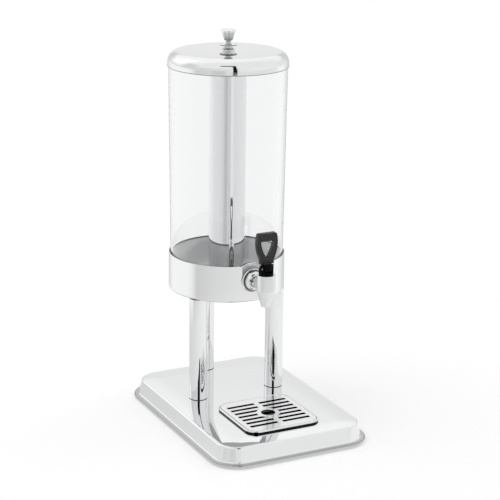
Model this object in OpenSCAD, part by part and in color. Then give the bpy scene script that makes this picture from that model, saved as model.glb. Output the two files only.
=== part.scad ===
// Countertop drink dispenser: a clear tank with an ice tube in its middle stands in a
// steel cup, on three legs over a stamped base with a drip tray and its grate.
// Origin at the middle of the base's underside, +Z up, the tap towards -Y.

/* [Base] */
// Width of the base over its rolled edge
base_w = 258; // [240:1:300]
// Depth of the base over its rolled edge
base_d = 360; // [354:1:400]
// Corner radius of the rolled edge
base_corner_r = 46; // [40:1:56]
// Height of the flat deck above the worktop
deck_h = 29.5; // [26:0.5:34]
// Thickness of the base's sheet steel
base_sheet = 1.2; // [0.8:0.1:1.6]
// Distance from the deck's edge out to the rolled edge
edge_run = 12; // [11:0.5:16]
// Lean of the base's side wall from upright, in degrees
wall_lean = 13; // [6:1:16]
// Radius of the deck's rounded shoulder
shoulder_r = 3; // [2:0.5:4]
// Radius of the hollow at the foot of the side wall
cove_r = 2.5; // [2:0.5:3]
// Radius of the rolled edge
bead_r = 2.9; // [2.4:0.1:3.3]
// Height of the rubber feet below the rolled edge
foot_proud = 1; // [0.5:0.1:2]
// Radius of a rubber foot at the worktop
foot_r = 10; // [8:0.5:13]
// Distance of a foot's middle from the sides of the base
foot_inset = 34; // [30:1:38]
// Radius of a stud that holds a foot
foot_stud_r = 2.5; // [2:0.5:4]
// Length of a stud that holds a foot
foot_stud_l = 14; // [8:1:18]

/* [Drip tray] */
// Width and depth of the drip tray over its lip
tray_w = 122; // [116:1:130]
// Corner radius of the tray's lip
tray_corner_r = 19; // [17:0.5:22]
// Distance from the tray's middle forward of the tank's middle
tray_reach = 148; // [138:1:152]
// Height of the tray's lip above the deck
lip_h = 4.8; // [3.8:0.1:6]
// Width of the tray's lip
lip_w = 2.8; // [2.4:0.1:3.4]
// Width of the ledge that carries the grate
ledge_w = 5; // [4:0.5:7]
// Depth of the tray's bowl below its ledge
bowl_depth = 17; // [12:1:19]
// Thickness of the tray's sheet steel
tray_sheet = 1; // [0.8:0.1:1.2]
// Thickness of the grate
grate_t = 1.5; // [1:0.1:2]
// Number of slot rows in the grate
slot_rows = 7; // [5:2:7]
// Distance from one slot row to the next
slot_pitch = 13; // [12:0.5:14]
// Width of a slot
slot_w = 5; // [4:0.5:6]
// Distance from the grate's middle line to a slot's outer end
slot_reach = 49.5; // [46:0.5:51]
// Half the width of the bar between the two columns of slots
slot_bar = 4.5; // [4:0.5:7]
// Radius of the finger hole in the grate's middle
finger_r = 11; // [10:0.5:12]
// Distance from the finger hole's edge to the slots near it
finger_margin = 7.5; // [6:0.5:9]

/* [Legs and cup] */
// Outer radius of a leg
leg_r = 14.2; // [13:0.1:15]
// Wall of a leg
leg_wall = 1.2; // [1:0.1:1.6]
// Length of a leg
leg_l = 164.5; // [150:0.5:190]
// Radius of the circle that the legs stand on
leg_circle_r = 76; // [74:0.5:76]
// Length of the plastic plug in a leg's end, with the thread for its screw
plug_l = 14; // [12:1:20]
// Thickness of the plug's flange between the leg's end and the sheet beside it
plug_flange_t = 0.8; // [0.6:0.1:1.2]
// Radius of the leg screws
screw_r = 3; // [2.5:0.1:3.5]
// Length of a leg screw under its head
screw_l = 14; // [12:1:18]
// Outer radius of the cup
cup_r = 90.4; // [89.8:0.1:92]
// Height of the cup
cup_h = 57; // [50:1:66]
// Thickness of the cup's sheet steel
cup_sheet = 0.8; // [0.8:0.1:1.2]
// Radius of the cup's bottom edge
cup_edge_r = 2.5; // [2:0.1:4]
// Radius of the rounded corners at the mouth of the cup's notch
notch_flare_r = 5; // [3:0.5:7]
// Height of the dark strip inside the cup's mouth
strip_h = 2; // [1.2:0.2:4]
// Thickness of the rubber pad under the tank
pad_t = 6.7; // [6:0.1:8]
// Radius of the rubber pad under the tank
pad_r = 62; // [50:1:64]

/* [Tank] */
// Outer radius of the tank at its top
tank_top_r = 91; // [90:0.5:95]
// Outer radius of the tank at its underside
tank_base_r = 87.2; // [86:0.1:87.6]
// Height of the tank
tank_h = 350; // [300:5:380]
// Wall of the tank
tank_wall = 3; // [2.5:0.1:3.5]
// Thickness of the tank's floor
tank_floor = 4; // [3.5:0.1:5]
// Radius of the tank's bottom edge
tank_edge_r = 8; // [6:0.5:12]
// Radius of the flat seat for the tap on the tank's wall
seat_r = 26; // [25:0.5:27]
// Outer radius of the ice tube
ice_r = 28; // [24:0.5:32]
// Wall of the ice tube
ice_wall = 1.2; // [0.8:0.1:1.6]
// Height of the ice tube
ice_h = 333; // [280:1:334]

/* [Lid] */
// Thickness of the lid's sheet steel
lid_sheet = 1; // [0.8:0.1:1.2]
// Height of the lid's upright rim
lid_rim_h = 6; // [5:0.5:10]
// Radius of the lid's rounded shoulder
lid_shoulder_r = 17; // [12:0.5:18]
// Rise of the lid's crown above its shoulder
lid_crown = 1.5; // [1:0.5:6]
// Radius of the rolled edge of the lid
lid_bead_r = 1; // [1:0.1:1.6]
// Radius of the lid between its shoulder and the rim of the tank
lid_gap = 0.3; // [0.3:0.1:0.6]
// Height of the knob
knob_h = 31; // [28:1:38]
// Radius of the knob's collar
knob_collar_r = 13.4; // [11:0.1:14]
// Radius of the knob's grip at its widest
knob_grip_r = 11.3; // [9:0.1:12]

/* [Tap] */
// Distance from the tank's middle to the tap's upright axis
tap_reach = 134; // [130:1:140]
// Height of the tap's shank above the tank's underside
tap_rise = 26.8; // [26.5:0.1:29]
// Radius of the tap's barrel
barrel_r = 14.2; // [13:0.1:15]
// Height of the tap's barrel above the shank's axis
barrel_top = 21.4; // [19:0.1:23]
// Depth of the tap's barrel below the shank's axis
barrel_drop = 3.1; // [1:0.1:4]
// Length of the tap's tapered spout
spout_l = 25.5; // [22:0.5:30]
// Outer radius of the spout's end
spout_r = 6.8; // [6.4:0.1:8]
// Radius of the spout's bore
spout_bore_r = 4.8; // [4:0.1:5]
// Radius of the valve chamber in the barrel
chamber_r = 8; // [7.5:0.1:9]
// Radius of the tap's shank
shank_r = 7.5; // [7:0.1:8]
// Bore of the tap's shank
shank_bore_r = 4.5; // [3.5:0.1:5]
// Radius of the dome nut's flange
rosette_r = 18.5; // [18:0.1:20]
// Radius of the dome nut's dome and of its hub in the notch
hub_r = 15.5; // [14:0.1:16]
// Radius of the round gaskets on the tap's seat
gasket_r = 21.5; // [20:0.1:22]
// Radius of the black bonnet on the tap's barrel
bonnet_r = 11.1; // [10.2:0.1:11.6]
// Distance from the lever's pivot forward of the stem
pivot_ahead = 5; // [4:0.1:5.5]
// Radius of the lever's pivot pin
pivot_r = 1.5; // [1.2:0.1:1.8]
// Radius of the tap's stem
stem_r = 2.5; // [2:0.1:2.6]
// Thickness of the lever's grip
lever_t = 8; // [6:0.5:9]
// Half the width of the lever's grip
grip_half = 17; // [15:0.5:19]
// Radius of the grip's curved sides
grip_side_r = 56; // [50:1:70]
// Height of the grip's widest place above the pivot
grip_mid = 39; // [36:0.5:42]
// Height of the lever's top above the pivot
grip_top = 54; // [50:0.5:60]
// Radius of the grip's rounded top corners
grip_round = 3; // [2:0.5:6]
// Half the width of the finger loop
loop_half = 11.1; // [10:0.1:12]
// Radius of the finger loop's curved sides
loop_side_r = 49; // [42:1:52]
// Height of the loop's top above the pivot
loop_top = 42; // [38:0.5:43]

/* [Hidden] */
$fn = 96;

// how far every cut runs past the face that it opens
over = 1;
// how far a leaning wall runs into its round edges, so that their faces cross cleanly
join_bite = 0.002;
// radial clearance of a shaft that turns or slides in its hole
run_gap = 0.05;
// clearance beside parts that move past each other
side_gap = 0.4;

// base: places worked out from the sizes above, u running outwards from a corner's centre
bead_z = foot_proud + bead_r;
rim_z = bead_z + bead_r;
bead_u = base_corner_r - bead_r;
deck_u = base_corner_r - edge_run;
shoulder_u = deck_u - shoulder_r;
shoulder_z = deck_h - shoulder_r;
wall_out = [cos(wall_lean), sin(wall_lean)];
wall_down = [sin(wall_lean), -cos(wall_lean)];
wall_l = (shoulder_z - rim_z - cove_r + (shoulder_r + cove_r) * sin(wall_lean)) / cos(wall_lean);
shoulder_c = [shoulder_u, shoulder_z];
cove_c = shoulder_c + (shoulder_r + cove_r) * wall_out + wall_l * wall_down;
foot_top_share = 1.25;
foot_x = base_w / 2 - foot_inset;
foot_y = base_d / 2 - foot_inset;

// the tank's middle stands where the rear leg just clears the deck's rounded shoulder
leg_margin = 0.3;
tower_y = base_d / 2 - edge_run - shoulder_r - leg_margin - leg_r - leg_circle_r;
leg_angles = [210, -30, 90];

// drip tray
tray_y = tower_y - tray_reach;
tray_half = tray_w / 2 - tray_corner_r;
ledge_h = lip_h - grate_t - tray_sheet / 2;
ledge_z = deck_h + ledge_h;
lip_round = lip_w / 2;
ledge_u = tray_corner_r - lip_w;
bowl_u = ledge_u - ledge_w;
bowl_edge_r = 5;
opening_gap = 1;
opening_u = bowl_u + opening_gap;
grate_gap = 0.4;
grate_half_w = tray_half + ledge_u - grate_gap;
grate_corner_r = ledge_u - grate_gap;

// legs and their screws
cup_z = deck_h + leg_l;
cup_in_r = cup_r - cup_sheet;
cup_top = cup_z + cup_h;
screw_head_r = 1.75 * screw_r;
screw_head_h = 1.1 * screw_r;
socket_r = screw_r;
socket_depth = screw_head_h / 2;
washer_r = 2.4 * screw_r;
washer_t = screw_r * 0.35;
hole_gap = 0.3;

// tank and ice tube
tank_z = cup_z + cup_sheet + pad_t;
tank_top = tank_z + tank_h;
tank_lean = atan((tank_top_r - tank_base_r) / tank_h);
tank_inner_edge_r = tank_edge_r - tank_wall;
stud_r = 4;
stud_flange_r = 10;
tube_gasket_t = 2;
tube_gasket_r = ice_r - 2 * ice_wall;
tube_washer_t = 1;
tube_washer_r = 2.5 * stud_r;
tube_nut_t = 3.6;
tube_nut_r = 1.8 * stud_r;
stud_tail = 0.5;
pad_hole_r = 1.5 * tube_washer_r;
ice_z = tank_z + tank_floor + tube_gasket_t;

// dark strip inside the cup's mouth
strip_gap = 0.35;
strip_top = cup_top - cup_sheet / 4;
strip_in_r = tank_r_at(strip_top) + strip_gap;

// lid
lid_r = tank_top_r + lid_gap + lid_sheet;
lid_shoulder_u = lid_r - lid_shoulder_r;
lid_inner_shoulder_r = lid_shoulder_r - lid_sheet;
lid_seat_rise = sqrt(2 * lid_inner_shoulder_r * lid_gap - lid_gap * lid_gap);
lid_shoulder_z = tank_top + lid_gap - lid_seat_rise;
lid_z = lid_shoulder_z - lid_rim_h;
lid_top = lid_shoulder_z + lid_shoulder_r + lid_crown;
lid_h = lid_shoulder_r + lid_crown;
dome_r = (lid_shoulder_u * lid_shoulder_u + lid_h * lid_h - lid_shoulder_r * lid_shoulder_r)
    / (2 * lid_crown);
dome_turn = atan(lid_shoulder_u / (dome_r - lid_h));
dome_fn = 2400;
knob_screw_r = 2.5;
knob_thread_l = 11;
knob_screw_head_r = 1.8 * knob_screw_r;
knob_screw_head_h = 1.2 * knob_screw_r;
knob_washer_r = 2.8 * knob_screw_r;
// how far the crown's underside falls from its middle to the washer's edge, and a little clearance
crown_fall = dome_r - lid_sheet - sqrt(pow(dome_r - lid_sheet, 2) - pow(knob_washer_r, 2));
crown_clear = 0.01;
knob_fixing_z = lid_top - 2 * lid_sheet - crown_fall - crown_clear;

// tap: its shank's axis and its upright axis, measured from the tank's middle
tap_z = tank_z + tap_rise;
tap_y = tower_y - tap_reach;
seat_face = sqrt(tank_base_r * tank_base_r - seat_r * seat_r);
seat_t = tank_wall + 1;
seat_below = 1.8;
barrel_top_z = tap_z + barrel_top;
spout_top_z = tap_z - barrel_drop;
spout_z = spout_top_z - spout_l;
seat_z = tap_z - shank_bore_r - seat_below;
gasket_t = 2.5;
cup_clear = 0.6;
hub_l = cup_r + cup_clear - seat_face - gasket_t;
rosette_flange_t = 3;
rosette_dome_r = 9;
// free length of the tap's neck between the flange and the barrel
neck_room = tap_reach - barrel_r - seat_face - gasket_t - hub_l - rosette_flange_t;
// the dome's share of that length
dome_share = 0.29;
rosette_dome_l = dome_share * neck_room;
rosette_l = hub_l + rosette_flange_t + rosette_dome_l;
rosette_y = tap_reach - seat_face - gasket_t - rosette_l;
neck_r = shank_r + 0.6;
neck_root_r = shank_r + 2.4;
inner_gasket_t = 2;
inner_gasket_r = shank_r + 7;
shank_washer_t = 1.2;
shank_washer_r = shank_r + 5;
shank_nut_t = 6;
shank_nut_r = shank_r + 5.5;
shank_tail = 3;
shank_end = seat_face - seat_t - inner_gasket_t - shank_washer_t - shank_nut_t - shank_tail;
notch_r = hub_r + 1;
strip_notch = gasket_r + 2;

// bonnet, lever and valve
bonnet_base_h = 4;
skirt_l = 6;
spring_room_h = 3.5;
spring_room_r = 5.5;
pivot_rise = 10.3;
pivot_z = barrel_top_z + pivot_rise;
pivot_y = tap_y - pivot_ahead;
ear_r = 4 * pivot_r;
ear_back = bonnet_r * 0.75;
fork_half = 6.5;
fork_gap_half = stem_r + side_gap;
ear_slot_half = fork_half + side_gap;
fork_r = 3 * pivot_r;
crown_gap = 1;
crown_z = ear_r + crown_gap;
crown_half = bonnet_r - side_gap;
crown_h = 5;
shield_drop = fork_r / 1.5;
lift_angle = 35;
cross_r = 1.25;
cross_gap = 0.3;
cross_l = 2 * fork_half - 1;
stem_tip = 3.5;
plug_r = 6.4;
plug_h = 8;
plug_bite = 6;
stem_flange_r = 4.8;
stem_flange_t = 1.2;
pivot_l = 2 * sqrt(bonnet_r * bonnet_r - pivot_ahead * pivot_ahead) - side_gap;
spring_r = 3.9;
spring_wire_r = 0.4;
spring_turns = 6;
spring_steps = 14;
spring_sides = 6;

steel = [0.86, 0.87, 0.88];
dark_rubber = [0.08, 0.08, 0.09];
clear_rubber = [0.85, 0.86, 0.87, 0.8];
clear_tank = [0.93, 0.96, 0.97, 0.3];
satin_silver = [0.8, 0.81, 0.82];
black_plastic = [0.06, 0.06, 0.065];

// outer radius of the tank at a height above the worktop
function tank_r_at(z) = tank_base_r + (z - tank_z) * tan(tank_lean);

// moves children from the tank's middle to where the tank stands
module at_tower(z) {
    translate([0, tower_y, z]) children();
}

// a copy of the children on each leg's axis
module at_legs(z) {
    at_tower(z)
        for (a = leg_angles)
            rotate([0, 0, a]) translate([leg_circle_r, 0, 0]) children();
}

// turns a piece that points along +Z to point forwards, along the tap's shank
module along_shank(reach) {
    translate([0, tower_y - reach, tap_z]) rotate([90, 0, 0]) children();
}

// a piece whose outline is drawn across Y and Z, as thick along X as given
module across(t) {
    rotate([90, 0, 90]) linear_extrude(height = t, center = true) children();
}

module ring(r_out, r_in, h) {
    difference() {
        cylinder(r = r_out, h = h);
        translate([0, 0, -over]) cylinder(r = r_in, h = h + 2 * over);
    }
}

// outline of a rectangle with round corners, from the half sizes between the corner centres
module round_rect(half_x, half_y, r) {
    square([2 * (half_x + r), 2 * half_y], center = true);
    square([2 * half_x, 2 * (half_y + r)], center = true);
    for (sx = [-1, 1], sy = [-1, 1])
        translate([sx * half_x, sy * half_y]) circle(r = r);
}

// carries an edge's section round a rectangle whose corner centres are given
module rim_sweep(half_x, half_y) {
    for (i = [0 : 3]) {
        turned = i % 2 == 1;
        run_x = turned ? half_y : half_x;
        run_y = turned ? half_x : half_y;
        rotate([0, 0, 90 * i]) {
            translate([run_x, run_y, 0]) {
                rotate_extrude(angle = 90) children();
                rotate([90, 0, 0]) linear_extrude(height = 2 * run_y) children();
            }
        }
    }
}

// base pan

// solid outline of the pan's edge, drawn in by the sheet's thickness where asked
module pan_outline(inset) {
    difference() {
        union() {
            polygon([
                [0, 0], [0, deck_h - inset], [shoulder_u, deck_h - inset], shoulder_c,
                shoulder_c + (shoulder_r - inset - join_bite) * wall_out,
                cove_c - (cove_r + inset - join_bite) * wall_out,
                cove_c, [cove_c[0], 0]]);
            translate(shoulder_c) circle(r = shoulder_r - inset);
            translate([cove_c[0] - over, 0]) square([bead_u - cove_c[0] + over, rim_z - inset]);
        }
        translate(cove_c) circle(r = cove_r + inset);
    }
}

// the sheet's section with its edge rolled under
module pan_section() {
    difference() {
        pan_outline(0);
        pan_outline(base_sheet);
    }
    difference() {
        translate([bead_u, bead_z]) circle(r = bead_r);
        translate([bead_u, bead_z]) circle(r = bead_r - base_sheet);
        translate([bead_u - bead_r - over, bead_z]) square([bead_r + over, bead_r - base_sheet]);
    }
}

module at_feet(z) {
    for (sx = [-1, 1], sy = [-1, 1])
        translate([sx * foot_x, sy * foot_y, z]) children();
}

module base_pan() {
    half_x = base_w / 2 - base_corner_r;
    half_y = base_d / 2 - base_corner_r;
    color(steel) {
        difference() {
            union() {
                rim_sweep(half_x, half_y) pan_section();
                translate([-half_x, -half_y, deck_h - base_sheet])
                    cube([2 * half_x, 2 * half_y, base_sheet]);
                at_feet(deck_h - base_sheet - foot_stud_l)
                    cylinder(r = foot_stud_r, h = foot_stud_l + base_sheet / 2);
            }
            translate([0, tray_y, deck_h - base_sheet - over])
                linear_extrude(height = base_sheet + 2 * over)
                    round_rect(tray_half, tray_half, opening_u);
            at_legs(deck_h - base_sheet - over)
                cylinder(r = screw_r + hole_gap, h = base_sheet + 2 * over);
        }
    }
}

module rubber_feet() {
    foot_h = deck_h - base_sheet;
    color(dark_rubber)
        at_feet(0)
            difference() {
                cylinder(r1 = foot_r, r2 = foot_r * foot_top_share, h = foot_h);
                translate([0, 0, foot_h - foot_stud_l]) cylinder(r = foot_stud_r, h = foot_stud_l + over);
            }
}

// drip tray and grate

// section of the tray's lip, ledge and bowl wall, u running outwards from a corner's centre
module tray_section() {
    floor_z = ledge_z - bowl_depth;
    // lip standing on the deck
    translate([ledge_u, deck_h]) square([lip_w, lip_h - lip_round]);
    translate([ledge_u + lip_round, deck_h + lip_h - lip_round]) circle(r = lip_round);
    // ledge under the grate
    translate([bowl_u - tray_sheet, ledge_z - tray_sheet]) square([ledge_w + tray_sheet + lip_round, tray_sheet]);
    // bowl wall with its rounded foot
    difference() {
        union() {
            translate([0, floor_z]) square([bowl_u - bowl_edge_r, bowl_depth]);
            translate([0, floor_z + bowl_edge_r]) square([bowl_u, bowl_depth - bowl_edge_r]);
            translate([bowl_u - bowl_edge_r, floor_z + bowl_edge_r]) circle(r = bowl_edge_r);
        }
        translate([0, floor_z + bowl_edge_r]) square([bowl_u - tray_sheet, bowl_depth]);
        translate([0, floor_z + tray_sheet]) square([bowl_u - bowl_edge_r, bowl_depth]);
        translate([bowl_u - bowl_edge_r, floor_z + bowl_edge_r]) circle(r = bowl_edge_r - tray_sheet);
    }
}

module drip_tray() {
    floor_z = ledge_z - bowl_depth;
    color(steel)
        translate([0, tray_y, 0]) {
            rim_sweep(tray_half, tray_half) tray_section();
            translate([-tray_half, -tray_half, floor_z])
                cube([2 * tray_half, 2 * tray_half, tray_sheet]);
        }
}

// inner end of the slots in a row, which keep clear of the finger hole
function slot_inner(y) =
    let (keep = finger_r + finger_margin)
    abs(y) < keep ? max(slot_bar, sqrt(keep * keep - y * y)) : slot_bar;

// outline of one slot, from its inner end to its outer end
module slot_outline(inner) {
    slot_end = slot_w / 2;
    translate([inner + slot_end, -slot_end]) square([slot_reach - inner - slot_w, slot_w]);
    translate([inner + slot_end, 0]) circle(r = slot_end);
    translate([slot_reach - slot_end, 0]) circle(r = slot_end);
}

module drip_grate() {
    color(steel)
        translate([0, tray_y, ledge_z])
            linear_extrude(height = grate_t)
                difference() {
                    round_rect(tray_half, tray_half, grate_corner_r);
                    circle(r = finger_r);
                    for (row = [0 : slot_rows - 1], side = [0, 1]) {
                        row_y = (row - (slot_rows - 1) / 2) * slot_pitch;
                        mirror([side, 0]) translate([0, row_y]) slot_outline(slot_inner(row_y));
                    }
                }
}

// legs

module leg(i) {
    color(steel)
        at_tower(deck_h + plug_flange_t)
            rotate([0, 0, leg_angles[i]]) translate([leg_circle_r, 0, 0])
                ring(leg_r, leg_r - leg_wall, leg_l - 2 * plug_flange_t);
}

module leg_front_left() { leg(0); }
module leg_front_right() { leg(1); }
module leg_rear() { leg(2); }

// a plug with its flange down, before it is turned over for a leg's upper end
module leg_plug() {
    difference() {
        union() {
            cylinder(r = leg_r, h = plug_flange_t);
            cylinder(r = leg_r - leg_wall, h = plug_l);
        }
        translate([0, 0, -over]) cylinder(r = screw_r + run_gap, h = plug_l + 2 * over);
    }
}

module leg_plugs() {
    color(black_plastic) {
        at_legs(deck_h) leg_plug();
        at_legs(cup_z) mirror([0, 0, 1]) leg_plug();
    }
}

// a socket screw with its head's underside at zero and its shank downwards
module socket_screw(shank_r, shank_l, head_r, head_h) {
    translate([0, 0, -shank_l]) cylinder(r = shank_r, h = shank_l);
    difference() {
        cylinder(r = head_r, h = head_h);
        translate([0, 0, head_h - socket_depth]) cylinder(r = shank_r, h = socket_depth + over, $fn = 6);
    }
}

module leg_screws() {
    color(satin_silver) {
        at_legs(cup_z + cup_sheet + washer_t)
            socket_screw(screw_r, screw_l, screw_head_r, screw_head_h);
        at_legs(deck_h - base_sheet - washer_t)
            mirror([0, 0, 1]) socket_screw(screw_r, screw_l, screw_head_r, screw_head_h);
    }
}

module leg_washers() {
    color(satin_silver) {
        at_legs(cup_z + cup_sheet) ring(washer_r, screw_r + hole_gap, washer_t);
        at_legs(deck_h - base_sheet - washer_t) ring(washer_r, screw_r + hole_gap, washer_t);
    }
}

// cup

module cup_outline(inset) {
    edge = cup_edge_r - inset;
    translate([0, inset]) square([cup_r - inset - edge, cup_h - inset]);
    translate([0, inset + edge]) square([cup_r - inset, cup_h - inset - edge]);
    translate([cup_r - inset - edge, inset + edge]) circle(r = edge);
}

// the notch that the tap drops into, open at the cup's mouth with rounded corners
module notch_outline() {
    mouth = cup_top - tap_z;
    circle(r = notch_r);
    translate([-notch_r, 0]) square([2 * notch_r, mouth + over]);
    difference() {
        translate([-notch_r - notch_flare_r, mouth - notch_flare_r])
            square([2 * (notch_r + notch_flare_r), notch_flare_r + over]);
        for (side = [-1, 1])
            translate([side * (notch_r + notch_flare_r), mouth - notch_flare_r])
                circle(r = notch_flare_r);
    }
}

module cup_shell() {
    color(steel)
        difference() {
            at_tower(cup_z)
                rotate_extrude()
                    difference() {
                        cup_outline(0);
                        cup_outline(cup_sheet);
                    }
            along_shank(cup_r / 2) linear_extrude(height = cup_r) notch_outline();
            at_legs(cup_z - over) cylinder(r = screw_r + hole_gap, h = cup_sheet + 2 * over);
        }
}

module cup_strip() {
    color(dark_rubber)
        difference() {
            at_tower(strip_top - strip_h) ring(cup_in_r, strip_in_r, strip_h);
            translate([-strip_notch, tower_y - cup_r, strip_top - strip_h - over])
                cube([2 * strip_notch, cup_r, strip_h + 2 * over]);
        }
}

module tank_pad() {
    color(dark_rubber) at_tower(cup_z + cup_sheet) ring(pad_r, pad_hole_r, pad_t);
}

// tank

// solid outline of the tank's inside or outside, with its leaning wall and rounded bottom edge
module tank_outline(wall, base_z, edge_r) {
    foot_u = tank_base_r - wall / cos(tank_lean);
    edge_c = [foot_u + (base_z + edge_r) * tan(tank_lean) - edge_r / cos(tank_lean), base_z + edge_r];
    top_z = tank_h + (wall > 0 ? over : 0);
    polygon([
        [0, base_z], [edge_c[0], base_z], edge_c,
        edge_c + (edge_r - join_bite) * [cos(tank_lean), -sin(tank_lean)],
        [foot_u + top_z * tan(tank_lean), top_z], [0, top_z]]);
    translate(edge_c) circle(r = edge_r);
}

module tank_shell() {
    color(clear_tank)
        difference() {
            union() {
                at_tower(tank_z)
                    rotate_extrude()
                        difference() {
                            tank_outline(0, 0, tank_edge_r);
                            tank_outline(tank_wall, tank_floor, tank_inner_edge_r);
                        }
                along_shank(seat_face - seat_t) cylinder(r = seat_r, h = seat_t);
            }
            along_shank(seat_face) cylinder(r = seat_r, h = tank_top_r - seat_face);
            along_shank(seat_face - seat_t - over)
                cylinder(r = shank_r + hole_gap, h = seat_t + 2 * over);
            at_tower(tank_z - over) cylinder(r = stud_r + hole_gap, h = tank_floor + 2 * over);
        }
}

// ice tube and what holds it to the tank's floor

module ice_tube() {
    color(steel)
        at_tower(ice_z)
            difference() {
                cylinder(r = ice_r, h = ice_h);
                translate([0, 0, ice_wall]) cylinder(r = ice_r - ice_wall, h = ice_h);
            }
}

module ice_tube_stud() {
    tail = tube_washer_t + tube_nut_t + stud_tail;
    color(satin_silver) {
        at_tower(tank_z - tail) cylinder(r = stud_r, h = tail + tank_floor + tube_gasket_t / 2);
        at_tower(tank_z + tank_floor) cylinder(r = stud_flange_r, h = tube_gasket_t);
    }
}

module ice_tube_gasket() {
    color(clear_rubber)
        at_tower(tank_z + tank_floor)
            ring(tube_gasket_r, stud_flange_r + hole_gap, tube_gasket_t);
}

module ice_tube_washer() {
    color(satin_silver)
        at_tower(tank_z - tube_washer_t) ring(tube_washer_r, stud_r + hole_gap, tube_washer_t);
}

// a six-sided nut with a plain bore
module hex_nut(r, bore, t) {
    difference() {
        cylinder(r = r, h = t, $fn = 6);
        translate([0, 0, -over]) cylinder(r = bore, h = t + 2 * over);
    }
}

module ice_tube_nut() {
    color(satin_silver)
        at_tower(tank_z - tube_washer_t - tube_nut_t)
            hex_nut(tube_nut_r, stud_r + run_gap, tube_nut_t);
}

// lid

// solid outline of the lid above its rim's lower edge, drawn in by the sheet where asked
module lid_outline(inset) {
    edge = lid_shoulder_r - inset;
    cap = dome_r - inset;
    join_u = lid_shoulder_u + edge * sin(dome_turn);
    dome_z = lid_h - dome_r;
    translate([0, -lid_rim_h - inset]) square([lid_r - inset, lid_rim_h + inset]);
    intersection() {
        translate([lid_shoulder_u, 0]) circle(r = edge);
        square([lid_r, lid_h]);
    }
    intersection() {
        translate([0, dome_z]) circle(r = cap, $fn = dome_fn);
        square([join_u, lid_h + over]);
    }
}

module lid_dome() {
    color(steel)
        at_tower(lid_shoulder_z)
            rotate_extrude()
                difference() {
                    union() {
                        difference() {
                            lid_outline(0);
                            lid_outline(lid_sheet);
                        }
                        translate([lid_r - lid_sheet + lid_bead_r / 2, lid_bead_r - lid_rim_h])
                            circle(r = lid_bead_r);
                    }
                    translate([0, -lid_rim_h - over])
                        square([lid_r - lid_sheet, lid_rim_h + over]);
                    square([knob_screw_r + hole_gap, lid_h + over]);
                }
}

// turned outline of the knob as shares of its height and of its two radii
module knob_outline() {
    foot_flange_r = 0.76 * knob_collar_r;
    waist_r = 0.44 * knob_collar_r;
    neck_r = 0.36 * knob_grip_r;
    grip_foot_r = 0.56 * knob_grip_r;
    edge = 0.035 * knob_h;
    waist_z = 0.11 * knob_h;
    waist_top_z = 0.18 * knob_h;
    collar_z = 0.26 * knob_h;
    neck_z = 0.34 * knob_h;
    grip_foot_z = 0.47 * knob_h;
    grip_z = knob_h - 1.6 * edge;
    polygon([
        [0, 0], [foot_flange_r, 0], [foot_flange_r, edge], [foot_flange_r - edge, 2 * edge],
        [waist_r, waist_z], [waist_r, waist_top_z],
        [knob_collar_r - 2 * edge, collar_z - edge], [knob_collar_r - edge, collar_z - edge],
        [knob_collar_r - edge, collar_z + edge], [neck_r, neck_z], [neck_r, grip_foot_z],
        [grip_foot_r, grip_foot_z], [knob_grip_r - edge, grip_z - edge],
        [knob_grip_r - edge, grip_z + edge], [grip_foot_r, knob_h], [0, knob_h]]);
    translate([knob_collar_r - edge, collar_z]) circle(r = edge);
    translate([knob_grip_r - edge, grip_z]) circle(r = edge);
}

module lid_knob() {
    color(steel)
        at_tower(lid_top)
            difference() {
                rotate_extrude() knob_outline();
                translate([0, 0, -over])
                    cylinder(r = knob_screw_r + run_gap, h = knob_thread_l + 2 * over);
            }
}

module knob_screw() {
    color(satin_silver)
        at_tower(knob_fixing_z)
            mirror([0, 0, 1])
                socket_screw(knob_screw_r, knob_thread_l + 2 * lid_sheet, knob_screw_head_r,
                    knob_screw_head_h);
}

module knob_washer() {
    color(satin_silver)
        at_tower(knob_fixing_z)
            ring(knob_washer_r, knob_screw_r + hole_gap, lid_sheet);
}

// tap

module tap_body() {
    neck_l = rosette_y;
    color(satin_silver)
        difference() {
            union() {
                translate([0, tap_y, spout_top_z])
                    cylinder(r = barrel_r, h = barrel_top + barrel_drop);
                translate([0, tap_y, spout_z])
                    cylinder(r1 = spout_r, r2 = barrel_r, h = spout_l);
                along_shank(tap_reach - neck_l) cylinder(r1 = neck_r, r2 = neck_root_r, h = neck_l);
                along_shank(shank_end) cylinder(r = shank_r, h = tap_reach - shank_end);
            }
            translate([0, tap_y, seat_z]) cylinder(r = chamber_r, h = barrel_top_z - seat_z + over);
            translate([0, tap_y, spout_z - over]) cylinder(r = spout_bore_r, h = seat_z - spout_z + 2 * over);
            along_shank(shank_end - over) cylinder(r = shank_bore_r, h = tap_reach - shank_end + over);
        }
}

// the dome nut: a hub in the notch, a flange in front of the cup and a dome round the shank
module tap_rosette() {
    flange_edge = rosette_flange_t / 2;
    color(steel)
        along_shank(seat_face + gasket_t)
            rotate_extrude()
                difference() {
                    union() {
                        square([hub_r, hub_l + over]);
                        translate([0, hub_l]) square([rosette_r - flange_edge, rosette_flange_t]);
                        translate([rosette_r - flange_edge, hub_l + flange_edge])
                            circle(r = flange_edge);
                        intersection() {
                            union() {
                                square([hub_r - rosette_dome_r, rosette_l]);
                                translate([hub_r - rosette_dome_r, hub_l + rosette_flange_t])
                                    circle(r = rosette_dome_r);
                            }
                            translate([0, hub_l]) square([hub_r, rosette_l - hub_l]);
                        }
                    }
                    square([shank_r + run_gap, rosette_l + over]);
                }
}

module outer_gasket() {
    color(clear_rubber) along_shank(seat_face) ring(gasket_r, shank_r + hole_gap, gasket_t);
}

module inner_gasket() {
    color(clear_rubber)
        along_shank(seat_face - seat_t - inner_gasket_t)
            ring(inner_gasket_r, shank_r + hole_gap, inner_gasket_t);
}

module shank_washer() {
    color(steel)
        along_shank(seat_face - seat_t - inner_gasket_t - shank_washer_t)
            ring(shank_washer_r, shank_r + hole_gap, shank_washer_t);
}

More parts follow.
